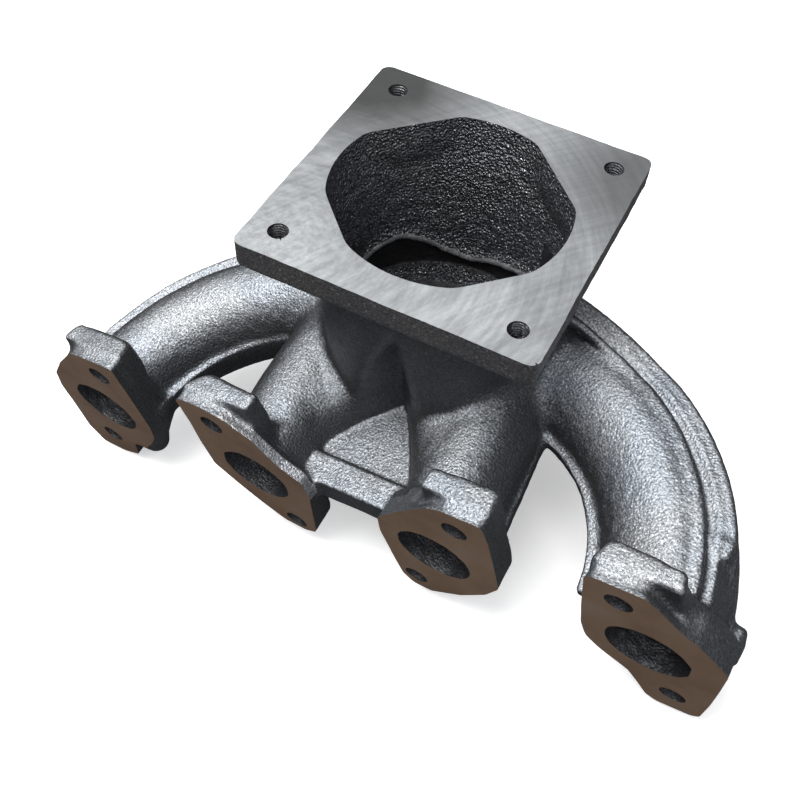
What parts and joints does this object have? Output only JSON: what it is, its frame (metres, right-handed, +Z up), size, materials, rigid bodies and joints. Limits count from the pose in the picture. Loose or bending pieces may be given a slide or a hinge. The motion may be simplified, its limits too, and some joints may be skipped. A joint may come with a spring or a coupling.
{
  "type": "exhaust manifold",
  "caption": "Cast iron exhaust manifold: curved runners lead from diagonally bolted port flanges into a collector under a tilted square outlet flange.",
  "frame": {"origin": "the centre of port 1 on the cylinder-head face", "axes": "+X along the port row from port 1 to port 4, +Y away from the head, +Z up; the outlet face looks up, tilted towards +X and +Y"},
  "size_m": [0.3201, 0.1616, 0.1522],
  "materials": {
    "cast_skin": "as-cast, sandy grain",
    "outlet_flange_iron": "machined face on cast iron",
    "port_flange_iron": "machined face on cast iron"
  },
  "bodies": {
    "root": {"outlet_flange": "outlet_flange_iron", "collector": "cast_skin", "runner_1": "cast_skin", "runner_2": "cast_skin", "runner_3": "cast_skin", "runner_4": "cast_skin", "port_flange_1": "port_flange_iron", "port_flange_2": "port_flange_iron", "port_flange_3": "port_flange_iron", "port_flange_4": "port_flange_iron", "outer_rib_1": "cast_skin", "outer_rib_4": "cast_skin", "inner_fin_1": "cast_skin", "inner_fin_4": "cast_skin", "web_plate": "cast_skin", "web_bar": "cast_skin", "side_lug": "cast_skin"}
  },
  "joints": []
}
